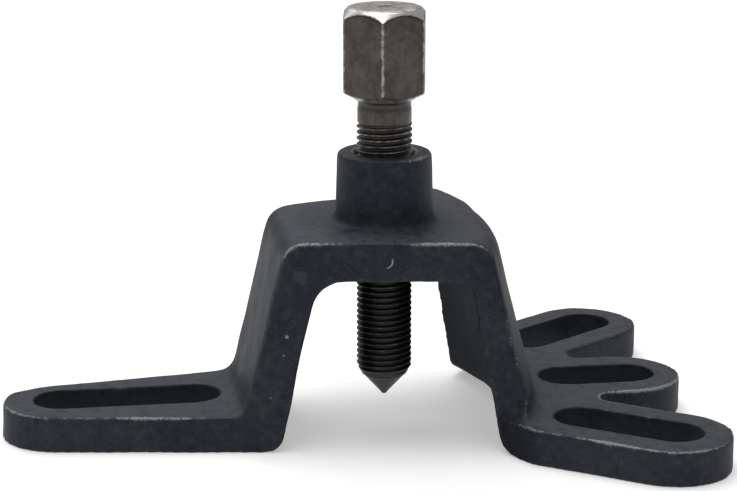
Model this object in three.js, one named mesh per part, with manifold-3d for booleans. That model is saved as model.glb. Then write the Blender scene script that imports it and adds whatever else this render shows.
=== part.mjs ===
// Ball joint separator: a one-piece forged yoke that bolts over a wheel hub's studs, and a forcing
// screw that is driven down through its boss. Millimetres, +Z up. The yoke stands on z = 0.
import * as THREE from "three";
import { mergeVertices } from "three/addons/utils/BufferGeometryUtils.js";
import Module from "manifold-3d";

const wasm = await Module();
wasm.setup();

// ---- driving dimensions -----------------------------------------------------------------------
const PLATE = 9; // thickness of the arm and of the foot
const STUD_SLOT = 14.1; // width of the slots for the wheel studs

// yoke in plan: a wedge that widens from the arm's round tip to the foot
const ARM_TIP = -82.4; // centre of the arm's round tip, from the screw axis
const ARM_TIP_RADIUS = 14.7; // at z = 0
const FLARE = 8.6; // half-angle of the wedge, degrees
const DRAFT = 2.8; // lean of its sides, degrees
const ARM_SLOT = [-82, -49.2]; // centres of the slot's round ends

// foot in plan: three parallel-sided fingers, on the stud lines of four- and five-stud hubs
const FINGER_SPREAD = 36; // degrees between the middle finger and each side finger
const FINGER_HALF_WIDTH = 14.8;
const MIDDLE_TIP = 62.9; // centre of the finger's round tip
const MIDDLE_SLOT = [47.8, 64];
const SIDE_TIP = 78.2;
const SIDE_SLOT = [55, 79];
const NOTCH_RADIUS = 3.4; // root of the V between two fingers

// yoke from the side
const BRIDGE_UNDER = 43;
const BRIDGE_TOP = 52.8;
const BOSS_TOP = 70.3;
const LEG_INNER_FOOT = -29.1; // left leg's faces, where they would meet z = 0 and the arm
const LEG_INNER_TOP = -19.6;
const LEG_OUTER_FOOT = -37.7;
const LEG_OUTER_TOP = -27.4;

// right leg: a wall curved about a vertical axis on the arm's side of the screw
const WALL_AXIS = -50;
const WALL_INNER_FOOT = 79.5; // radii of the wall's faces
const WALL_INNER_TOP = 72.1;
const WALL_OUTER_FOOT = 87;
const WALL_OUTER_TOP = 76.5;
const WALL_CORNER = 22.5; // x of the wall's inner corners, where the foot starts to widen
const FOOT_SHOULDER = 30; // x where the foot reaches the side fingers' full width
const END_FILLET = 9; // height over which the wall's ends flare out to the foot

// construction limits, all inside other material or clear of it
const HALVES_MEET = 12; // x under the boss where the arm's half ends
const OVERLAP = 2;
const WEDGE_END = 45;
const CLEAR = 150;

// boss and bore
const BOSS_RADIUS = [12.3, 11.9]; // at its base and near its top
const BORE_RADIUS = 7.3;

// forcing screw, in the position where its point clears the ground
const THREAD_RADIUS = 7;
const POINT_Z = 6.4;
const POINT_TOP = 12.2; // the plain cone ends here and the threaded bar goes on
const POINT_RADIUS = 5.5;
const THREAD_START = 14.6;
const NECK_Z = 78.2;
const NECK_RADIUS = 6.8;
const HEX_Z = 83.6;
const HEX_TOP = 106.7;
const HEX_ACROSS_FLATS = 20;
const HEX_TURN = 18.8; // direction of one corner, degrees from +X
const GAP = 0.3; // clearance between touching pieces

// ---- helpers ----------------------------------------------------------------------------------
const rad = THREE.MathUtils.degToRad;
const lerp = THREE.MathUtils.lerp;

// A closed geometry as a solid that can be joined and cut.
function solid(geometry) {
  geometry.deleteAttribute("normal");
  geometry.deleteAttribute("uv");
  const merged = mergeVertices(geometry, 1e-5);
  const index = merged.index.array;
  const kept = [];
  for (let i = 0; i < index.length; i += 3) {
    const [a, b, c] = index.slice(i, i + 3);
    if (a !== b && b !== c && c !== a) kept.push(a, b, c);
  }
  const vertProperties = Float32Array.from(merged.attributes.position.array);
  return new wasm.Manifold(new wasm.Mesh({ numProp: 3, vertProperties, triVerts: Uint32Array.from(kept) }));
}

// A solid as a named mesh.
function mesh(name, body, material) {
  const { vertProperties, triVerts } = body.getMesh();
  const geometry = new THREE.BufferGeometry();
  geometry.setAttribute("position", new THREE.BufferAttribute(vertProperties, 3));
  geometry.setIndex(new THREE.BufferAttribute(triVerts, 1));
  geometry.computeVertexNormals();
  const result = new THREE.Mesh(geometry, material);
  result.name = name;
  return result;
}

// Points of an arc from angle `from` to angle `to`, in degrees.
function arc(x, y, radius, from, to, steps) {
  return Array.from({ length: steps + 1 }, (_, i) => {
    const angle = rad(lerp(from, to, i / steps));
    return new THREE.Vector2(x + radius * Math.cos(angle), y + radius * Math.sin(angle));
  });
}

// A closed outline through corners [x, y, radius], each rounded by its radius.
function rounded(corners, steps = 6) {
  const points = [];
  corners.forEach(([x, y, radius], i) => {
    const corner = new THREE.Vector2(x, y);
    if (!radius) {
      points.push(corner);
      return;
    }
    const [px, py] = corners.at(i - 1);
    const [nx, ny] = corners[(i + 1) % corners.length];
    const back = new THREE.Vector2(px, py).sub(corner).normalize();
    const ahead = new THREE.Vector2(nx, ny).sub(corner).normalize();
    const half = Math.acos(back.dot(ahead)) / 2;
    const tangent = radius / Math.tan(half);
    const centre = back.clone().add(ahead).normalize().multiplyScalar(radius / Math.sin(half)).add(corner);
    const start = corner.clone().addScaledVector(back, tangent).sub(centre).angle();
    const end = corner.clone().addScaledVector(ahead, tangent).sub(centre).angle();
    const turn = ((end - start + 3 * Math.PI) % (2 * Math.PI)) - Math.PI;
    const [from, to] = [start, start + turn].map(THREE.MathUtils.radToDeg);
    points.push(...arc(centre.x, centre.y, radius, from, to, steps));
  });
  return points;
}

// A prism on a plan outline, from one height to another.
function prism(outline, low, high) {
  const shape = new THREE.Shape(outline);
  const geometry = new THREE.ExtrudeGeometry(shape, { depth: high - low, bevelEnabled: false });
  return solid(geometry.translate(0, 0, low));
}

// A prism on an outline in the XZ plane, across the part's whole width.
function crossPrism(outline, halfWidth) {
  const shape = new THREE.Shape(outline);
  const geometry = new THREE.ExtrudeGeometry(shape, { depth: 2 * halfWidth, bevelEnabled: false });
  return solid(geometry.rotateX(Math.PI / 2).translate(0, halfWidth, 0));
}

// A solid turned from a profile of [radius, z], about a vertical axis at x.
function turned(profile, x = 0, segments = 64) {
  const points = profile.map((p) => (p.isVector2 ? p : new THREE.Vector2(...p)));
  return solid(new THREE.LatheGeometry(points, segments).rotateX(Math.PI / 2).translate(x, 0, 0));
}

// A solid through a stack of outlines [z, points], all with the same number of points.
function loft(layers) {
  const count = layers[0][1].length;
  const position = layers.flatMap(([z, points]) => points.flatMap((p) => [p.x, p.y, z]));
  const index = [];
  for (let layer = 0; layer + 1 < layers.length; layer++) {
    for (let i = 0; i < count; i++) {
      const a = layer * count + i;
      const b = layer * count + ((i + 1) % count);
      index.push(a, b, b + count, a, b + count, a + count);
    }
  }
  const cap = THREE.ShapeUtils.triangulateShape(layers[0][1], []);
  const top = (layers.length - 1) * count;
  cap.forEach(([a, b, c]) => index.push(a, c, b, top + a, top + b, top + c));
  const geometry = new THREE.BufferGeometry();
  geometry.setAttribute("position", new THREE.Float32BufferAttribute(position, 3));
  geometry.setIndex(index);
  return solid(geometry);
}

// A slot with round ends, along a line from the screw axis, cut right through the plate.
function slot([from, to], angle) {
  const radius = STUD_SLOT / 2;
  const outline = [...arc(to, 0, radius, -90, 90, 16), ...arc(from, 0, radius, 90, 270, 16)];
  return prism(outline, -OVERLAP, PLATE + OVERLAP).rotate([0, 0, angle]);
}

// ---- yoke -------------------------------------------------------------------------------------
// The y of the foot's outer edge, on the straight side of a side finger.
function footEdge(x) {
  const spread = rad(FINGER_SPREAD);
  return FINGER_HALF_WIDTH / Math.cos(spread) + x * Math.tan(spread);
}

// Radius of the wedge's round tip at a height.
function tipRadius(z) {
  return ARM_TIP_RADIUS - z * Math.tan(rad(DRAFT));
}

// Half the width of the wedge at x, at a height.
function wedgeSide(x, z) {
  return tipRadius(z) / Math.cos(rad(FLARE)) + (x - ARM_TIP) * Math.tan(rad(FLARE));
}

// The wedge that the arm, bridge and leg lie in, at a height. Low down, its wide end flares out
// to the edges of the foot.
function wedgeOutline(z) {
  const up = THREE.MathUtils.clamp((z - PLATE) / END_FILLET, 0, 1);
  const spread = 1 - Math.sqrt(1 - (1 - up) ** 2);
  const flared = (x) => lerp(wedgeSide(x, z), footEdge(x), spread);
  const sides = [
    [WALL_CORNER, wedgeSide(WALL_CORNER, z)],
    [FOOT_SHOULDER, flared(FOOT_SHOULDER)],
    [WEDGE_END, flared(WEDGE_END)],
  ];
  return [
    ...arc(ARM_TIP, 0, tipRadius(z), 90 + FLARE, 270 - FLARE, 24),
    ...sides.map(([x, y]) => new THREE.Vector2(x, -y)),
    ...sides.reverse().map(([x, y]) => new THREE.Vector2(x, y)),
  ];
}

function wedge() {
  const steps = 8;
  const flaring = Array.from({ length: steps + 1 }, (_, i) => PLATE + END_FILLET * (i / steps) ** 2);
  return loft([-OVERLAP, ...flaring, BRIDGE_TOP + OVERLAP].map((z) => [z, wedgeOutline(z)]));
}

// The foot's plan: half of it, from the middle finger's tip round to the outer edge, and its mirror.
function footOutline() {
  const w = FINGER_HALF_WIDTH;
  const spread = rad(FINGER_SPREAD);
  const notch = (w + NOTCH_RADIUS) / Math.sin(spread / 2);
  const half = [
    ...arc(MIDDLE_TIP, 0, w, 0, 90, 12),
    ...arc(notch * Math.cos(spread / 2), w + NOTCH_RADIUS, NOTCH_RADIUS, -90, FINGER_SPREAD - 270, 10),
    ...arc(SIDE_TIP * Math.cos(spread), SIDE_TIP * Math.sin(spread), w,
      FINGER_SPREAD - 90, FINGER_SPREAD + 90, 24),
    new THREE.Vector2(FOOT_SHOULDER, footEdge(FOOT_SHOULDER)),
    new THREE.Vector2(WALL_CORNER, wedgeSide(WALL_CORNER, PLATE)),
    new THREE.Vector2(HALVES_MEET, wedgeSide(HALVES_MEET, PLATE)),
  ];
  const mirror = half.slice(1).reverse().map((p) => new THREE.Vector2(p.x, -p.y));
  return [...half, ...mirror];
}

// Arm, left leg and bridge from the side, long enough to run into the right leg's wall.
function armAndBridge() {
  const far = -CLEAR;
  return crossPrism(rounded([
    [far, 0, 0],
    [LEG_INNER_FOOT, 0, 5],
    [LEG_INNER_TOP, BRIDGE_UNDER, 8],
    [HALVES_MEET, BRIDGE_UNDER, 0],
    [HALVES_MEET, BRIDGE_TOP, 0],
    [LEG_OUTER_TOP, BRIDGE_TOP, 6],
    [LEG_OUTER_FOOT, PLATE, 4],
    [far, PLATE, 0],
  ]), WEDGE_END);
}

// The right leg's wall with the bridge above it and the foot below it, as a ring about its axis.
function wallRing() {
  const near = HALVES_MEET - OVERLAP - WALL_AXIS;
  return turned(rounded([
    [near, BRIDGE_UNDER, 0],
    [WALL_INNER_TOP, BRIDGE_UNDER, 4],
    [WALL_INNER_FOOT, 0, 5.5],
    [CLEAR, 0, 0],
    [CLEAR, PLATE, 0],
    [WALL_OUTER_FOOT, PLATE, 3.5],
    [WALL_OUTER_TOP, BRIDGE_TOP, 6],
    [near, BRIDGE_TOP, 0],
    [near, BRIDGE_UNDER, 0],
  ]), WALL_AXIS, 128);
}

function boss() {
  const [base, top] = BOSS_RADIUS;
  const fillet = 1.6;
  const edge = 0.8;
  return turned([
    [0, BRIDGE_TOP - OVERLAP],
    [base + fillet, BRIDGE_TOP - OVERLAP],
    ...arc(base + fillet, BRIDGE_TOP + fillet, fillet, -90, -180, 5),
    ...arc(top - edge, BOSS_TOP - edge, edge, 0, 90, 5),
    [0, BOSS_TOP],
  ]);
}

function bore() {
  const chamfer = 0.9;
  const wide = BORE_RADIUS + chamfer + OVERLAP;
  return turned([
    [0, BRIDGE_UNDER - OVERLAP],
    [wide, BRIDGE_UNDER - OVERLAP],
    [BORE_RADIUS, BRIDGE_UNDER + chamfer],
    [BORE_RADIUS, BOSS_TOP - chamfer],
    [wide, BOSS_TOP + OVERLAP],
    [0, BOSS_TOP + OVERLAP],
  ]);
}

function yoke(material) {
  const inWedge = wedge();
  const ring = wallRing();
  const foot = ring.intersect(prism(footOutline(), -OVERLAP, PLATE));
  const abovePlate = new THREE.BoxGeometry(WEDGE_END, 2 * WEDGE_END, BRIDGE_TOP)
    .translate(WEDGE_END / 2, 0, PLATE + BRIDGE_TOP / 2);
  const wall = ring.intersect(inWedge).intersect(solid(abovePlate));
  const body = armAndBridge().intersect(inWedge).add(wall).add(foot).add(boss()).subtract(bore())
    .subtract(slot(ARM_SLOT, 0))
    .subtract(slot(MIDDLE_SLOT, 0))
    .subtract(slot(SIDE_SLOT, FINGER_SPREAD))
    .subtract(slot(SIDE_SLOT, -FINGER_SPREAD));
  return mesh("yoke", body, material);
}

// ---- forcing screw ----------------------------------------------------------------------------
// The conical point. It turns with the bar, and is a mesh of its own so that the drive can be
// stated as a travel and a turn.
function screwPoint(material) {
  const body = turned([
    [0, POINT_Z],
    [0.5, POINT_Z + 0.15],
    [1, POINT_Z + 0.6],
    [POINT_RADIUS, POINT_TOP],
    [0, POINT_TOP],
  ], 0, 48);
  return mesh("screw_point", body, material);
}

function hexHead() {
  const corner = HEX_ACROSS_FLATS / 2 / Math.cos(rad(30));
  const outline = Array.from({ length: 6 }, (_, i) => {
    const angle = rad(HEX_TURN + 60 * i);
    return new THREE.Vector2(corner * Math.cos(angle), corner * Math.sin(angle));
  });
  const outer = corner + 0.2;
  const chamfer = 2.6;
  const chamfers = turned([
    [0, HEX_Z],
    [NECK_RADIUS + 0.4, HEX_Z],
    [outer, HEX_Z + chamfer],
    [outer, HEX_TOP - chamfer],
    [HEX_ACROSS_FLATS / 2 - 0.4, HEX_TOP - 0.6],
    [HEX_ACROSS_FLATS / 2 - 1.7, HEX_TOP],
    [0, HEX_TOP],
  ], 0, 48);
  return prism(outline, HEX_Z, HEX_TOP).intersect(chamfers);
}

function forcingScrew(material) {
  const bar = turned([
    [0, POINT_TOP + GAP],
    [POINT_RADIUS + GAP, POINT_TOP + GAP],
    [THREAD_RADIUS, THREAD_START],
    [THREAD_RADIUS, NECK_Z],
    [NECK_RADIUS, NECK_Z + 0.2],
    [NECK_RADIUS, HEX_Z + 0.5],
    [0, HEX_Z + 0.5],
  ], 0, 48);
  return mesh("forcing_screw", bar.add(hexHead()), material);
}

// ---- assembly ---------------------------------------------------------------------------------
const blackForging = new THREE.MeshStandardMaterial({ color: 0x2b2e35, roughness: 0.55, metalness: 0.4 });
const screwSteel = new THREE.MeshStandardMaterial({ color: 0x4a453f, roughness: 0.42, metalness: 0.85 });

// The origin is under the middle of the yoke's length, so the screw's axis lies to one side of it.
const armEnd = ARM_TIP - ARM_TIP_RADIUS;
const footEnd = SIDE_TIP * Math.cos(rad(FINGER_SPREAD)) + FINGER_HALF_WIDTH;

const separator = new THREE.Group();
separator.position.x = -(armEnd + footEnd) / 2;
separator.add(yoke(blackForging), forcingScrew(screwSteel), screwPoint(screwSteel));

export default separator;
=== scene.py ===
# Looks of the ball joint separator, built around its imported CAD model. Metres, +Z up.
# Three pieces replace the CAD nodes: the forged yoke, the threaded bar with its head, and its point.
import math

import bmesh
import bpy
import numpy as np
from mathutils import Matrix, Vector, noise
from mathutils.bvhtree import BVHTree


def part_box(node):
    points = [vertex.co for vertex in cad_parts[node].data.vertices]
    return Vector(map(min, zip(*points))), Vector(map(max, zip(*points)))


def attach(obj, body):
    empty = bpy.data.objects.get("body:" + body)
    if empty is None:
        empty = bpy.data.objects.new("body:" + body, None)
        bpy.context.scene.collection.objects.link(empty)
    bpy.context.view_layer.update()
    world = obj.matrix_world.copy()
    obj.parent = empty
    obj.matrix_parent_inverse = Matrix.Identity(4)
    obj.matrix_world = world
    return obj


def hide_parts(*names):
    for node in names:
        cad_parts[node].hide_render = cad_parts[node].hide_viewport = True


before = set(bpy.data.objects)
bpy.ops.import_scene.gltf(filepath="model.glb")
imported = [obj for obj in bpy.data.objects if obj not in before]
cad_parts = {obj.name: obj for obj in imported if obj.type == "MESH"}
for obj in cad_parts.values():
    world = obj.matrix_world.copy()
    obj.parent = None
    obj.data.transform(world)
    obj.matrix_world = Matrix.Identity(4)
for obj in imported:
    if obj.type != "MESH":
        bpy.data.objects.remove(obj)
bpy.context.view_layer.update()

MM = 0.001
SCENE = bpy.context.scene

# ---- places, from the frame -------------------------------------------------------------------
YOKE_LOW, YOKE_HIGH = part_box("yoke")
SCREW_LOW, SCREW_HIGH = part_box("forcing_screw")
POINT_LOW, POINT_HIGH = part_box("screw_point")
AXIS_X = (SCREW_LOW.x + SCREW_HIGH.x) / 2

# ---- driving dimensions of the design, in millimetres from the screw's axis ----------------------
PLATE = 9  # thickness of arm and foot
BRIDGE_UNDER = 43
BRIDGE_TOP = 52.8
LEG_OUTER = -24  # x beyond which the arm side's leg shows its outer face
WALL_AXIS = -50  # x that the foot side's curved wall is centred on
WALL_MIDDLE = 15  # x beyond which only the wall and the foot stand on the ground
SLOT_RADIUS = 7.05
SLOTS = [  # from, to, direction in degrees
    (-82, -49.2, 0),
    (47.8, 64, 0),
    (55, 79, 36),
    (55, 79, -36),
]
BORE_RADIUS = 7.3
BOSS_RADIUS = 12.3
BOSS_TOP = YOKE_HIGH.z / MM

# marks on the front
FRONT_FACE = (-15, -18)  # y over which marks start to show
NICK = (-3.4, 48.3)  # x, z of the curved nick's centre
NICK_RADIUS = 1.6
SPECKS = [  # x, z, size, strength
    (-27.4, 29.5, 0.6, 0.8),
    (-28.2, 24.8, 0.45, 0.35),
    (-31.5, 14.0, 0.4, 0.3),
]

# the forging's lack of squareness
ARM_BACK_SKEW = -1.3
FOOT_BACK_SKEW = 1.6
BRIDGE_BACK_SKEW = 1.2  # on top of the foot side's
SOLE_RISE = 2.6
BRIDGE_BACK_RISE = 0.35
LEAN = 0.4
LEAN_LOW = 0.8  # on top of it near the foot

# forcing screw
BAR_BOTTOM = SCREW_LOW.z / MM
THREAD_START = 14.6
THREAD_PITCH = 1.5
ROWS_PER_PITCH = 12
CREST = 7.0
ROOT = 6.1
CREST_END = 0.06  # in half pitches from the middle of the crest
ROOT_START = 0.86
THREAD_RUN_OUT = 1.3
NECK_Z = 78.2
NECK_RADIUS = 6.8
HEX_Z = 83.6
HEX_TOP = SCREW_HIGH.z / MM
HEX_CAP = 0.6  # height of the head's rounded top, above its chamfer
HEX_FLAT = 10  # from the axis to a flat
HEX_TURN = 18.8  # direction of one corner, in degrees
HEX_CORNER_CUT = 0.1191
HEX_BLEND = 0.14  # rounding where the chamfers meet the flats
HEX_LOWER_CHAMFER = (NECK_RADIUS + 0.6, 1.72)  # radius at its end, and slope
HEX_UPPER_CHAMFER = (HEX_FLAT - 0.45, 0.9)
SIXTH = math.radians(60)

# conical point
POINT_JOIN_RADIUS = 5.8
POINT_TIP_RADIUS = 0.9  # where the rounded tip ends and the cone starts
POINT_TIP_HEIGHT = 0.75
POINT_TOP_RADIUS = 5.45
POINT_RINGS = 26
POINT_COLUMNS = 72
TURNING_MARK = 0.02


# ---- mesh helpers -----------------------------------------------------------------------------
def smoothstep(low, high, value):
    t = np.clip((value - low) / (high - low), 0, 1)
    return t * t * (3 - 2 * t)


def coordinates(mesh):
    co = np.empty(len(mesh.vertices) * 3, np.float32)
    mesh.vertices.foreach_get("co", co)
    return co.reshape(-1, 3).astype(float)


def set_coordinates(mesh, co):
    mesh.vertices.foreach_set("co", co.astype(np.float32).ravel())
    mesh.update()


def vertex_normals(mesh):
    normals = np.empty(len(mesh.vertices) * 3, np.float32)
    mesh.vertex_normals.foreach_get("vector", normals)
    return normals.reshape(-1, 3).astype(float)


def add_attribute(mesh, name, values):
    layer = mesh.attributes.new(name, "FLOAT", "POINT")
    layer.data.foreach_set("value", np.asarray(values, np.float32))


class Smoother:
    """Laplacian smoothing of a mesh's coordinates, with a weight for each vertex."""

    def __init__(self, mesh):
        edges = np.empty(len(mesh.edges) * 2, np.int32)
        mesh.edges.foreach_get("vertices", edges)
        self.a, self.b = edges.reshape(-1, 2).T
        self.count = len(mesh.vertices)
        self.degree = np.bincount(np.concatenate([self.a, self.b]), minlength=self.count)

    def average(self, co):
        """Each vertex's neighbours' mean."""
        total = np.empty_like(co)
        for k in range(co.shape[1]):
            from_b = np.bincount(self.a, co[self.b, k], self.count)
            from_a = np.bincount(self.b, co[self.a, k], self.count)
            total[:, k] = from_b + from_a
        return total / self.degree[:, None]

    def smooth(self, co, steps, weight=1.0):
        factor = 0.5 * np.broadcast_to(weight, self.count)[:, None]
        for _ in range(steps):
            co = co + factor * (self.average(co) - co)
        return co


def smooth_noise(co, size, seed):
    """Noise of about -1 to 1 at each point, with lumps of about that size in metres."""
    offset = Vector((seed * 7.3, seed * 3.1, seed * 5.7))
    return np.array([noise.noise(Vector(p) / size + offset) for p in co])


def new_piece(name, mesh, material):
    piece = bpy.data.objects.new(name, mesh)
    SCENE.collection.objects.link(piece)
    mesh.materials.clear()
    mesh.materials.append(material)
    mesh.polygons.foreach_set("use_smooth", [True] * len(mesh.polygons))
    return piece


def from_axis(co):
    """Coordinates in millimetres, with the screw's axis at x = 0."""
    return (co - np.array([AXIS_X, 0, 0])) / MM


# ---- node helpers -----------------------------------------------------------------------------
class Nodes:
    """A material's node tree, with short calls for what the materials here use."""

    def __init__(self, name):
        self.material = bpy.data.materials.new(name)
        self.material.use_nodes = True
        self.tree = self.material.node_tree
        self.shader = self.tree.nodes["Principled BSDF"]
        self.place = self.add("ShaderNodeTexCoord").outputs["Object"]

    def add(self, kind, **settings):
        node = self.tree.nodes.new(kind)
        for key, value in settings.items():
            setattr(node, key, value)
        return node

    def put(self, socket, value):
        """Links a socket to another, or sets its number."""
        if isinstance(value, bpy.types.NodeSocket):
            self.tree.links.new(value, socket)
        else:
            socket.default_value = value

    def set(self, name, value):
        self.put(self.shader.inputs[name], value)

    def attribute(self, name):
        return self.add("ShaderNodeAttribute", attribute_name=name).outputs["Fac"]

    def axes(self):
        """The place's x, y and z."""
        node = self.add("ShaderNodeSeparateXYZ")
        self.put(node.inputs[0], self.place)
        return node.outputs

    def noise(self, size, detail=2.0, rough=0.5, stretch=(1, 1, 1)):
        """Noise from 0 to 1, with lumps of about that size in millimetres."""
        mapping = self.add("ShaderNodeMapping")
        self.put(mapping.inputs["Vector"], self.place)
        self.put(mapping.inputs["Scale"], stretch)
        node = self.add("ShaderNodeTexNoise")
        self.put(node.inputs["Vector"], mapping.outputs["Vector"])
        self.put(node.inputs["Scale"], 1 / (size * MM))
        self.put(node.inputs["Detail"], detail)
        self.put(node.inputs["Roughness"], rough)
        return node.outputs["Fac"]

    def math(self, operation, a, b=0.0):
        node = self.add("ShaderNodeMath", operation=operation)
        self.put(node.inputs[0], a)
        self.put(node.inputs[1], b)
        return node.outputs[0]

    def swing(self, value, amount):
        """A number from 0 to 1 taken about its middle, times an amount."""
        return self.math("MULTIPLY", self.math("SUBTRACT", value, 0.5), amount)

    def reach(self, a, b, at_a, at_b):
        """Distance from a point in the plane of two coordinates."""
        beside_a = self.math("POWER", self.math("SUBTRACT", a, at_a), 2.0)
        beside_b = self.math("POWER", self.math("SUBTRACT", b, at_b), 2.0)
        return self.math("SQRT", self.math("ADD", beside_a, beside_b))

    def span(self, value, low, high, to_low=0.0, to_high=1.0):
        """value's range from low to high, smoothly onto another range."""
        node = self.add("ShaderNodeMapRange", interpolation_type="SMOOTHSTEP")
        for socket, number in zip(node.inputs, (value, low, high, to_low, to_high)):
            self.put(socket, number)
        return node.outputs[0]

    def mix(self, factor, a, b):
        """A colour from a to b."""
        node = self.add("ShaderNodeMix", data_type="RGBA")
        sockets = [s for s in node.inputs if s.enabled]
        for socket, value in zip(sockets, (factor, a, b)):
            self.put(socket, value)
        return next(s for s in node.outputs if s.enabled)

    def blend(self, factor, a, b):
        """A number from a to b."""
        part_a = self.math("MULTIPLY", self.math("SUBTRACT", 1.0, factor), a)
        part_b = self.math("MULTIPLY", factor, b)
        return self.math("ADD", part_a, part_b)

    def bump(self, height, depth, strength=1.0, under=None):
        """Bumps of that depth in millimetres, on top of other bumps."""
        node = self.add("ShaderNodeBump")
        self.put(node.inputs["Height"], height)
        self.put(node.inputs["Distance"], depth * MM)
        self.put(node.inputs["Strength"], strength)
        if under is not None:
            self.put(node.inputs["Normal"], under)
        return node.outputs["Normal"]


# ---- materials --------------------------------------------------------------------------------
def curved_nick(n, x, z):
    """The lower right quarter of a thin ring, fading at its ends."""
    nick_x, nick_z = AXIS_X + NICK[0] * MM, NICK[1] * MM
    from_ring = n.math("SUBTRACT", n.reach(x, z, nick_x, nick_z), NICK_RADIUS * MM)
    ring = n.span(n.math("ABSOLUTE", from_ring), 0.28 * MM, 0.06 * MM, 0, 0.75)
    right = n.math("MULTIPLY", n.math("SUBTRACT", x, nick_x), 0.87)
    down = n.math("MULTIPLY", n.math("SUBTRACT", nick_z, z), 0.5)
    return n.math("MULTIPLY", ring, n.span(n.math("ADD", right, down), 0.8 * MM, 1.3 * MM))


def front_marks(n):
    """The curved nick in the bridge's front face, and small specks on the leg below it."""
    x, y, z = n.axes()
    marks = curved_nick(n, x, z)
    for speck_x, speck_z, size, strength in SPECKS:
        reach = n.reach(x, z, AXIS_X + speck_x * MM, speck_z * MM)
        speck = n.span(reach, size * MM, 0.3 * size * MM, 0, strength)
        marks = n.math("MAXIMUM", marks, speck)
    start, full = FRONT_FACE
    return n.math("MULTIPLY", marks, n.span(y, start * MM, full * MM))


def forged_black():
    """Blue-black oxide over a forging: fine grain, duller patches, edges abraded down to steel with
    a painted highlight on the front ones, painted top light on up-facing faces, and painted shade
    inside the arch.
    """
    n = Nodes("forged_black")
    edge = n.attribute("edge")
    upward = n.attribute("upward")
    arch_shade = n.attribute("arch_shade")
    # painted shade on the arch's inner walls; the machined slot and bore walls are darker too
    dark_walls = n.math("MAXIMUM", n.attribute("machined"), arch_shade)
    patches = n.noise(16, 3.0, 0.55)
    stains = n.noise(7, 3.0, 0.6)
    mottle = n.noise(2.6, 4.0, 0.6)
    grain = n.noise(0.6, 4.0, 0.65)
    handled = n.noise(24, 2.0)

    black = (0.0104, 0.0132, 0.0200, 1)
    grey = (0.0205, 0.0236, 0.0300, 1)
    brown = (0.0235, 0.0220, 0.0230, 1)
    # pale grey for the painted top light on up-facing faces
    dust_and_top_light = (0.0560, 0.0610, 0.0720, 1)
    deep = (0.004, 0.005, 0.008, 1)
    colour = n.mix(n.span(patches, 0.36, 0.66), black, grey)
    colour = n.mix(n.span(stains, 0.56, 0.74, 0, 0.6), colour, brown)
    broad_dust_and_light = n.span(patches, 0.35, 0.65, 0.4, 0.9)
    fine_dust_and_light = n.span(mottle, 0.38, 0.62, 0.3, 1.0)
    dust_and_light = n.blend(0.45, broad_dust_and_light, fine_dust_and_light)
    # painted top light: up-facing faces lightened toward pale grey, broken up like dust
    colour = n.mix(n.math("MULTIPLY", upward, dust_and_light), colour, dust_and_top_light)
    colour = n.mix(n.span(mottle, 0.50, 0.68, 0, 0.35), colour, (0.052, 0.054, 0.060, 1))
    colour = n.mix(n.span(mottle, 0.48, 0.32, 0, 0.55), colour, deep)
    colour = n.mix(n.span(grain, 0.55, 0.72, 0, 0.45), colour, (0.070, 0.072, 0.080, 1))
    colour = n.mix(n.span(grain, 0.45, 0.28, 0, 0.50), colour, (0.003, 0.004, 0.006, 1))
    # machined walls darker, and painted shade on the arch's inner walls
    colour = n.mix(n.math("MULTIPLY", dark_walls, 0.6), colour, deep)

    # edge wear toward bare steel, partly a painted highlight along the front edges
    rub_and_highlight = n.math("ADD", edge, n.swing(mottle, 0.9))
    rub_and_highlight = n.math("ADD", rub_and_highlight, n.swing(handled, 2.4))
    scuff_and_highlight = n.span(rub_and_highlight, 0.35, 0.95, 0, 0.55)
    bare_and_highlight = n.span(n.math("ADD", rub_and_highlight, n.swing(grain, 1.5)), 0.85, 1.35, 0, 0.75)
    bare_and_highlight = n.math("MAXIMUM", bare_and_highlight, front_marks(n))
    colour = n.mix(scuff_and_highlight, colour, (0.055, 0.058, 0.065, 1))
    colour = n.mix(bare_and_highlight, colour, (0.34, 0.34, 0.35, 1))
    n.set("Base Color", colour)
    n.set("Metallic", n.math("MULTIPLY", bare_and_highlight, 0.6))

    rough = n.span(patches, 0.3, 0.7, 0.54, 0.66)
    rough = n.math("ADD", rough, n.swing(mottle, 0.25))
    n.set("Roughness", n.math("ADD", rough, n.math("MULTIPLY", arch_shade, 0.28)))
    n.set("Specular IOR Level", 0.24)
    n.set("Specular Tint", (0.78, 0.87, 1.0, 1))
    bumps = n.bump(n.noise(4.5, 3.0, 0.55), 0.10, 0.4)
    bumps = n.bump(mottle, 0.07, 0.55, bumps)
    bumps = n.bump(grain, 0.05, 1.0, bumps)
    n.set("Normal", bumps)
    return n.material


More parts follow.
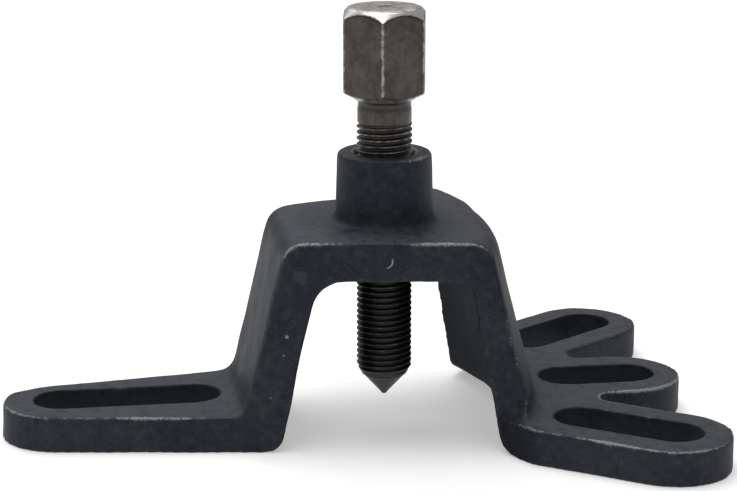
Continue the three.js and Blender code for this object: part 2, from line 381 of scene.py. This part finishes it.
def screw_steel():
    """Oiled, heat-treated steel: warm mottled grey, bright where a tool or the bore rubs it and
    where highlights are painted, darker where shade is painted below the bridge and under the head.
    """
    n = Nodes("screw_steel")
    wear_and_highlight = n.attribute("wear_and_highlight")
    oil_and_shade = n.attribute("oil_and_shade")
    patches = n.noise(6, 3.0, 0.55)
    mottle = n.noise(1.6, 4.0, 0.62)
    drawn = n.noise(0.9, 3.0, 0.6, stretch=(1, 1, 0.12))
    grain = n.noise(0.35, 2.0, 0.6)

    brown = (0.064, 0.054, 0.047, 1)
    grey = (0.092, 0.081, 0.073, 1)
    colour = n.mix(n.span(patches, 0.35, 0.65), brown, grey)
    colour = n.mix(n.span(mottle, 0.42, 0.75, 0, 0.40), colour, (0.125, 0.113, 0.103, 1))
    colour = n.mix(n.span(mottle, 0.50, 0.28, 0, 0.35), colour, (0.030, 0.025, 0.022, 1))
    # darker grey for oil and for painted shade below the bridge and under the head
    colour = n.mix(oil_and_shade, colour, (0.050, 0.050, 0.052, 1))
    # wear toward bright steel, with painted highlights on the hex corners and on crests above the
    # bridge
    bright = n.span(n.math("ADD", wear_and_highlight, n.swing(mottle, 0.7)), 0.38, 0.85, 0, 0.92)
    colour = n.mix(bright, colour, (0.62, 0.60, 0.58, 1))
    n.set("Base Color", colour)
    n.set("Metallic", 0.85)
    n.set("Roughness", n.blend(bright, n.span(drawn, 0.3, 0.7, 0.36, 0.5), 0.30))
    bumps = n.bump(drawn, 0.03, 0.45)
    bumps = n.bump(mottle, 0.05, 0.5, bumps)
    bumps = n.bump(grain, 0.015, 0.5, bumps)
    n.set("Normal", bumps)
    return n.material


def floor_white():
    n = Nodes("floor_white")
    n.set("Base Color", n.mix(n.noise(400), (0.86, 0.86, 0.86, 1), (0.88, 0.88, 0.88, 1)))
    n.set("Roughness", 0.9)
    n.set("Specular IOR Level", 0.2)
    n.set("Emission Color", (1, 1, 1, 1))
    n.set("Emission Strength", 0.36)
    return n.material


# ---- yoke -------------------------------------------------------------------------------------
VOXEL = 0.5
FAR = 99.0  # farther than any slot
EASING_STEPS = 6
SOFTENING_STEPS = 80
LUMPS = [(0.10, 9, 1), (0.045, 3.2, 2)]  # height, size, seed
EDGE_STANDS_OUT = 0.16  # how far a sharp edge is from the smoothed surface


def even_copy(node):
    """A CAD node's surface as an even grid of small faces."""
    source = bpy.data.objects.new("even_copy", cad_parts[node].data.copy())
    SCENE.collection.objects.link(source)
    remesh = source.modifiers.new("even", "REMESH")
    remesh.mode = "VOXEL"
    remesh.voxel_size = VOXEL * MM
    bpy.context.view_layer.update()
    evaluated = source.evaluated_get(bpy.context.evaluated_depsgraph_get())
    mesh = bpy.data.meshes.new_from_object(evaluated)
    corners = [v.co for v in source.data.vertices]
    surface = BVHTree.FromPolygons(corners, [f.vertices for f in source.data.polygons])
    set_coordinates(mesh, np.array([surface.find_nearest(v.co)[0] for v in mesh.vertices]))
    bpy.data.objects.remove(source)
    return mesh


def from_slots(p):
    """Distance of each point from the nearest slot's wall, in plan."""
    nearest = np.full(len(p), FAR)
    low = p[:, 2] < PLATE + 1
    for start, end, direction in SLOTS:
        angle = math.radians(direction)
        along = p[:, 0] * math.cos(angle) + p[:, 1] * math.sin(angle)
        across = p[:, 1] * math.cos(angle) - p[:, 0] * math.sin(angle)
        beyond = along - np.clip(along, start, end)
        distance = np.abs(np.hypot(beyond, across) - SLOT_RADIUS)
        nearest = np.minimum(nearest, np.where(low, distance, FAR))
    return nearest


def forging_set(co):
    """The forging's lack of squareness: a skewed back, a leaning wall, and its sole eased."""
    x, y, z = from_axis(co).T
    back = smoothstep(8, 15, y)
    high = smoothstep(25, 38, z)
    foot_side = smoothstep(-8, 10, x)
    above_plate = smoothstep(PLATE, PLATE + 8, z)

    skew = ARM_BACK_SKEW * smoothstep(-5, -30, x)
    skew += (FOOT_BACK_SKEW + BRIDGE_BACK_SKEW * high) * foot_side * above_plate

    from_wall_axis = np.hypot(x - WALL_AXIS, y)
    sole = smoothstep(-22, -8, y) * (1 - 0.4 * smoothstep(5, 22, y))
    sole *= smoothstep(7, 0, z) * (x > WALL_MIDDLE)
    rise = SOLE_RISE * smoothstep(94, 81, from_wall_axis) * sole
    rise += BRIDGE_BACK_RISE * high * foot_side * back

    lean = (LEAN + LEAN_LOW * smoothstep(32, 8, z)) * smoothstep(-5, -19, y)
    lean *= smoothstep(6, 14, x)
    lean *= np.maximum(smoothstep(32, 24, x), smoothstep(PLATE, PLATE + 6, z))
    return co + np.stack([lean, skew * back, rise], axis=1) * MM


def ease_edges(co, smoother, to_slot, to_bore):
    """Rounds every edge a little, and the machined, bottom and back ones least."""
    x, y, z = from_axis(co).T
    forged = np.minimum(smoothstep(0.8, 2.5, to_slot), smoothstep(1.0, 2.2, to_bore))
    bridge_back = smoothstep(-10, 2, x) * smoothstep(10, 16, y) * smoothstep(20, 30, z)
    sharp = np.maximum(bridge_back, smoothstep(4, 2, z))
    co = smoother.smooth(co, 2)
    return smoother.smooth(co, EASING_STEPS, forged * (1 - 0.8 * sharp))


def soften_edges(co, normals, smoother, to_slot):
    """Broad soft edges: the arm side's leg outside, arm and foot behind, and the boss's root."""
    x, y, z = from_axis(co).T
    leg = smoothstep(LEG_OUTER + 4, LEG_OUTER - 3, x) * smoothstep(PLATE + 3, PLATE + 14, z)
    leg *= smoothstep(BRIDGE_UNDER + 6, BRIDGE_UNDER - 5, z)
    behind = smoothstep(-12, -28, x) * smoothstep(7, 11, y)
    foot = smoothstep(32, 40, x) * smoothstep(0.0, 0.5, normals[:, 1]) * smoothstep(3, 5, z)
    boss_root = smoothstep(4, 1, np.abs(np.hypot(x, y) - BOSS_RADIUS - 1))
    boss_root *= smoothstep(0, 5, y) * smoothstep(6, 3, np.abs(z - BRIDGE_TOP))
    soft = np.maximum.reduce([leg, 0.7 * behind, 0.5 * foot, 0.5 * boss_root])
    return smoother.smooth(co, SOFTENING_STEPS, soft * smoothstep(2.5, 5, to_slot))


def add_lumps(co, normals, to_slot, to_bore):
    """The forging's own unevenness, on everything that isn't machined."""
    rough = np.minimum(smoothstep(0.5, 3.0, to_slot), smoothstep(0.8, 3.0, to_bore))
    lumps = sum(height * smooth_noise(co, size * MM, seed) for height, size, seed in LUMPS)
    co = co + normals * (lumps * rough * MM)[:, None]
    co[:, 2] = np.maximum(co[:, 2], YOKE_LOW.z)
    return co


def add_yoke_attributes(mesh, co, smoother, to_slot, to_bore):
    """Where edges are abraded and given a painted highlight, up-facing faces get painted top light,
    walls are machined, and the arch's inner walls get painted shade.
    """
    normals = vertex_normals(mesh)
    x, y, z = from_axis(co).T

    standing_out = np.einsum("ij,ij->i", co - smoother.smooth(co, 8), normals) / MM
    upward = smoothstep(-0.1, 0.5, normals[:, 2])
    # edge wear, raised on up-facing and front edges as a painted highlight
    edge_wear_and_highlight = 0.45 + 0.35 * upward + 0.4 * upward * smoothstep(5, -12, y)
    edge_wear_and_highlight *= 1 - 0.6 * (1 - smoothstep(0.5, 2.0, to_slot))
    bridge_middle = smoothstep(12, 6, np.abs(x + 6)) * smoothstep(BRIDGE_UNDER, BRIDGE_TOP - 3, z)
    edge_wear_and_highlight *= 1 - 0.4 * bridge_middle
    bore_mouth = smoothstep(1.6, 0.8, to_bore) * smoothstep(BOSS_TOP - 2, BOSS_TOP - 0.8, z)
    edge_wear_and_highlight += 1.5 * bore_mouth
    add_attribute(mesh, "edge", np.clip(standing_out / EDGE_STANDS_OUT * edge_wear_and_highlight, 0, 1.2))

    # painted top light: marks the up-facing faces away from the boss
    level = smoothstep(0.6, 0.97, normals[:, 2])
    add_attribute(mesh, "upward", level * smoothstep(8, 26, np.hypot(x, y)))

    to_machined = np.minimum(to_slot, to_bore)
    add_attribute(mesh, "machined", 1 - smoothstep(0.15, 0.6, to_machined))

    # painted shade: the inner walls under the arch that face inward
    inward = -normals[:, 0] * np.sign(x)
    arch = smoothstep(34, 28, np.abs(x)) * smoothstep(BRIDGE_UNDER + 4, BRIDGE_UNDER - 4, z)
    add_attribute(mesh, "arch_shade", smoothstep(0.35, 0.75, inward) * arch)


def yoke(material):
    mesh = even_copy("yoke")
    smoother = Smoother(mesh)
    co = forging_set(coordinates(mesh))
    p = from_axis(co)
    to_slot = from_slots(p)
    to_bore = np.abs(np.hypot(p[:, 0], p[:, 1]) - BORE_RADIUS)
    co = ease_edges(co, smoother, to_slot, to_bore)
    set_coordinates(mesh, co)
    co = soften_edges(co, vertex_normals(mesh), smoother, to_slot)
    set_coordinates(mesh, co)
    co = add_lumps(co, vertex_normals(mesh), to_slot, to_bore)
    set_coordinates(mesh, co)
    add_yoke_attributes(mesh, co, smoother, to_slot, to_bore)
    piece = new_piece("yoke_forging", mesh, material)
    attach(piece, "yoke")
    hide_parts("yoke")


# ---- forcing screw ----------------------------------------------------------------------------
def column_angles():
    """Directions of the screw's columns: close together at the hexagon's corners."""
    half = [0, 0.7, 1.5, 2.6, 4.5, 8, 13, 21]
    steps = [-a for a in half[:0:-1]] + half + [30]
    return np.radians([HEX_TURN + 60 * side + step for side in range(6) for step in steps])


def from_corner(angles):
    """Each direction's angle from the hexagon's nearest corner."""
    return (angles - math.radians(HEX_TURN) + SIXTH / 2) % SIXTH - SIXTH / 2


def hexagon_radius(angles):
    """The hexagon's radius in each direction, with its corners slightly rounded."""
    offset = from_corner(angles)
    flats = HEX_FLAT / np.cos(SIXTH / 2 - np.abs(offset))
    corner = HEX_FLAT / math.cos(SIXTH / 2)
    cut = HEX_CORNER_CUT * np.exp(-(np.degrees(offset) / 1.6) ** 2)
    return np.minimum(flats, corner - cut)


def thread_radius(phase):
    """The thread's radius at a phase from 0 to 1 through one pitch, with its crest at 0."""
    away = np.abs((phase + 0.5) % 1 - 0.5) * 2
    return ROOT + (CREST - ROOT) * (1 - smoothstep(CREST_END, ROOT_START, away)) ** 0.9


def soft_min(a, b, width):
    """The smaller of two radii, rounded where they meet."""
    h = np.clip(0.5 + 0.5 * (b - a) / width, 0, 1)
    return b * (1 - h) + a * h - width * h * (1 - h)


def head_cone(z):
    """Radius of the turned chamfers at the head's two ends."""
    lower_radius, lower_slope = HEX_LOWER_CHAMFER
    upper_radius, upper_slope = HEX_UPPER_CHAMFER
    lower = lower_radius + (z - HEX_Z) * lower_slope
    upper = upper_radius + (HEX_TOP - HEX_CAP - z) * upper_slope
    return np.minimum(lower, upper)


def bar_chamfer(z):
    """Radius of the chamfer at the bar's lower end."""
    slope = (CREST - POINT_JOIN_RADIUS) / (THREAD_START - BAR_BOTTOM)
    return POINT_JOIN_RADIUS + (z - BAR_BOTTOM) * slope


def polar(angles, z, radius):
    """A grid of points from arrays of direction, height and radius."""
    angles, z, radius = np.broadcast_arrays(angles, z, radius)
    return np.stack([radius * np.cos(angles), radius * np.sin(angles), z], axis=-1)


def plain_grid(angles, profile):
    """Rings from a profile of (radius, z, wear and painted highlight, oil and painted shade)."""
    radius, z, wear_and_highlight, oil_and_shade = (np.array(column)[:, None] for column in zip(*profile))
    flat = np.zeros(len(angles))
    return polar(angles, z, radius), wear_and_highlight + flat, oil_and_shade + flat, 0


def thread_grid(angles):
    """A helical grid, which climbs one pitch in each turn: its seam joins rows a pitch apart."""
    low, high = BAR_BOTTOM + 0.4, NECK_Z
    turns = (high - low) / THREAD_PITCH
    rows = np.arange(math.ceil((turns + 1) * ROWS_PER_PITCH) + 1)[:, None]
    turned = ((angles - angles[0]) / (2 * math.pi))[None, :]
    z = np.clip(low + THREAD_PITCH * (rows / ROWS_PER_PITCH + turned - 1), low, high)
    radius = thread_radius((z - low) / THREAD_PITCH - turned)
    radius = np.minimum(radius, bar_chamfer(z))
    run_out = smoothstep(high - THREAD_RUN_OUT, high, z)
    radius = radius * (1 - run_out) + NECK_RADIUS * run_out
    above = smoothstep(BRIDGE_UNDER, BRIDGE_UNDER + 20, z)
    # crests worn bright, brighter above the bridge as painted light
    wear_and_highlight = smoothstep(CREST - 0.35, CREST, radius) * (0.40 + 0.12 * above)
    # painted shade below the bridge and in the roots, with some oil
    oil_and_shade = 0.82 - 0.60 * above + 0.25 * smoothstep(CREST - 0.3, ROOT, radius)
    return polar(angles, z, radius), wear_and_highlight, oil_and_shade, ROWS_PER_PITCH


def head_grid(angles):
    """The hexagon between its chamfers, with a painted highlight down its corners and wear on its
    turned ends.
    """
    shoulder = HEX_TOP - HEX_CAP
    lower_end = HEX_Z + 2.8
    upper_end = HEX_TOP - 2.9
    z = np.concatenate([
        np.linspace(HEX_Z, lower_end, 15),
        np.linspace(lower_end, upper_end, 9)[1:],
        np.linspace(upper_end, shoulder, 17)[1:],
    ])[:, None]
    hexagon = hexagon_radius(angles)[None, :]
    cone = head_cone(z)
    at_end = (z <= HEX_Z) | (z >= shoulder)
    radius = np.where(at_end, cone, soft_min(hexagon, cone, HEX_BLEND))
    # painted highlight down each corner of the hexagon
    corner = 0.60 * np.exp(-(np.degrees(from_corner(angles)) / 3.8) ** 2)[None, :]
    turned = smoothstep(0.05, -0.25, cone - hexagon)
    high = z > (HEX_Z + HEX_TOP) / 2
    wear_and_highlight = np.maximum(corner, turned * np.where(high, 1.0, 0.6))
    return polar(angles, z, radius), wear_and_highlight, 0 * wear_and_highlight, 0


def grid_faces(first, rows, columns, seam):
    """Faces of a grid that closes on itself, its last column joined to rows a seam further up."""
    faces = []
    for r in range(rows - 1):
        for c in range(columns - 1):
            a = first + r * columns + c
            faces.append((a, a + 1, a + columns + 1, a + columns))
        a = first + r * columns + columns - 1
        low = first + min(r + seam, rows - 1) * columns
        high = first + min(r + 1 + seam, rows - 1) * columns
        faces.append((a, low, high, a + columns))
    return faces


def closed_mesh(name, parts):
    """One mesh from grids of (points, wear and painted highlight, oil and painted shade, seam),
    joined where their edges coincide.
    """
    mesh = bpy.data.meshes.new(name)
    faces = []
    first = 0
    for points, _, _, seam in parts:
        rows, columns = points.shape[:2]
        faces += grid_faces(first, rows, columns, seam)
        first += rows * columns
    vertices = np.concatenate([part[0].reshape(-1, 3) for part in parts]) * MM
    mesh.from_pydata((vertices + np.array([AXIS_X, 0, 0])).tolist(), [], faces)
    add_attribute(mesh, "wear_and_highlight", np.concatenate([part[1].ravel() for part in parts]))
    add_attribute(mesh, "oil_and_shade", np.concatenate([part[2].ravel() for part in parts]))
    joined = bmesh.new()
    joined.from_mesh(mesh)
    bmesh.ops.remove_doubles(joined, verts=joined.verts, dist=1e-6)
    bmesh.ops.dissolve_degenerate(joined, edges=joined.edges, dist=1e-7)
    bmesh.ops.recalc_face_normals(joined, faces=joined.faces)
    joined.to_mesh(mesh)
    joined.free()
    return mesh


def forcing_screw(material):
    angles = column_angles()
    foot = plain_grid(angles, [
        (0, BAR_BOTTOM, 0, 0.8),
        (POINT_JOIN_RADIUS - 0.3, BAR_BOTTOM, 0, 0.8),
        (bar_chamfer(BAR_BOTTOM + 0.12), BAR_BOTTOM + 0.12, 0.1, 0.8),
        (bar_chamfer(BAR_BOTTOM + 0.4), BAR_BOTTOM + 0.4, 0.1, 0.8),
    ])
    neck = plain_grid(angles, [
        (NECK_RADIUS, NECK_Z, 0.15, 0.2),
        (NECK_RADIUS, NECK_Z + 0.5, 0.1, 0.0),
        (NECK_RADIUS, NECK_Z + 2.5, 0.12, 0.0),
        (NECK_RADIUS, HEX_Z - 2.2, 0.05, 0.1),
        # painted shadow under the head: the neck's top darkened
        (NECK_RADIUS - 0.12, HEX_Z - 1.8, 0.0, 0.65),
        (NECK_RADIUS - 0.12, HEX_Z - 0.9, 0.0, 0.75),
        (NECK_RADIUS + 0.05, HEX_Z - 0.3, 0.0, 0.7),
        (head_cone(HEX_Z), HEX_Z, 0.3, 0.1),
    ])
    top = plain_grid(angles, [
        (head_cone(HEX_TOP - HEX_CAP), HEX_TOP - HEX_CAP, 0.95, 0),
        (HEX_FLAT - 0.72, HEX_TOP - 0.32, 0.7, 0),
        (HEX_FLAT - 1.2, HEX_TOP - 0.12, 0.62, 0),
        (HEX_FLAT - 1.9, HEX_TOP - 0.02, 0.6, 0),
        (HEX_FLAT - 3, HEX_TOP, 0.6, 0),
        (2, HEX_TOP, 0.55, 0),
        (0.8, HEX_TOP - 0.12, 0.3, 0.2),
        (0, HEX_TOP - 0.3, 0.2, 0.4),
    ])
    grids = [foot, thread_grid(angles), neck, head_grid(angles), top]
    mesh = closed_mesh("forcing_screw", grids)
    piece = new_piece("threaded_bar_and_head", mesh, material)
    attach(piece, "screw")
    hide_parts("forcing_screw")


def screw_point(material):
    angles = np.linspace(0, 2 * math.pi, POINT_COLUMNS, endpoint=False)
    tip = POINT_LOW.z / MM
    shoulder = POINT_HIGH.z / MM
    join = BAR_BOTTOM - 0.02
    heights = np.linspace(tip + POINT_TIP_HEIGHT, shoulder, POINT_RINGS)
    radii = np.linspace(POINT_TIP_RADIUS, POINT_TOP_RADIUS, POINT_RINGS)
    radii += TURNING_MARK * np.sin(np.arange(POINT_RINGS) * 2.4)
    cone = [(radius, z, 0.16, 0.75) for radius, z in zip(radii, heights)]
    mesh = closed_mesh("screw_point", [plain_grid(angles, [
        (0, tip, 0.9, 0.1),
        (0.35, tip + 0.08, 0.9, 0.1),
        (0.62, tip + 0.32, 0.7, 0.2),
        *cone,
        (POINT_JOIN_RADIUS - 0.1, shoulder + 0.1, 0.2, 0.7),
        (POINT_JOIN_RADIUS, join, 0.1, 0.8),
        (0, join, 0.1, 0.8),
    ])])
    piece = new_piece("conical_point", mesh, material)
    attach(piece, "point")
    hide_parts("screw_point")


# ---- stage ------------------------------------------------------------------------------------
FLOOR_HALF = 6.0
FLOOR_Z = -0.05 * MM  # just under the soles
LIGHT_AIM = (0, 0, 0.03)
WHITE = (1, 1, 1, 1)
SENSOR_WIDTH = 36
FOCAL_LENGTH = 110
CAMERA_FROM_AXIS = (-0.0856, -0.5433, 0.1922)
CAMERA_TILT = 75.09  # from straight down, in degrees
CAMERA_TURN = -8.54


def floor():
    half, z = FLOOR_HALF, FLOOR_Z
    mesh = bpy.data.meshes.new("floor")
    corners = [(-half, -half, z), (half, -half, z), (half, half, z), (-half, half, z)]
    mesh.from_pydata(corners, [], [(0, 1, 2, 3)])
    mesh.materials.append(floor_white())
    piece = bpy.data.objects.new("floor", mesh)
    SCENE.collection.objects.link(piece)


def softbox(name, place, size, power):
    light = bpy.data.lights.new(name, "AREA")
    light.shape = "RECTANGLE"
    light.size, light.size_y = size
    light.energy = power
    lamp = bpy.data.objects.new(name, light)
    lamp.location = place
    aim = Vector(LIGHT_AIM) - Vector(place)
    lamp.rotation_euler = aim.to_track_quat("-Z", "Y").to_euler()
    SCENE.collection.objects.link(lamp)


def studio():
    world = bpy.data.worlds.new("studio")
    world.use_nodes = True
    background = world.node_tree.nodes["Background"]
    background.inputs["Color"].default_value = WHITE
    background.inputs["Strength"].default_value = 0.36
    SCENE.world = world
    softbox("key", (-0.12, 0.12, 1.2), (0.9, 0.9), 8.2)
    softbox("back", (-0.2, 1.0, 0.9), (1.4, 0.6), 3.5)
    SCENE.view_settings.view_transform = "Standard"


def camera():
    lens = bpy.data.cameras.new("camera")
    lens.sensor_width = SENSOR_WIDTH
    lens.lens = FOCAL_LENGTH
    lens.clip_start = 0.01
    body = bpy.data.objects.new("camera", lens)
    body.location = Vector((AXIS_X, 0, 0)) + Vector(CAMERA_FROM_AXIS)
    body.rotation_euler = (math.radians(CAMERA_TILT), 0, math.radians(CAMERA_TURN))
    SCENE.collection.objects.link(body)
    SCENE.camera = body


camera()
floor()
studio()
yoke(forged_black())
steel = screw_steel()
forcing_screw(steel)
screw_point(steel)
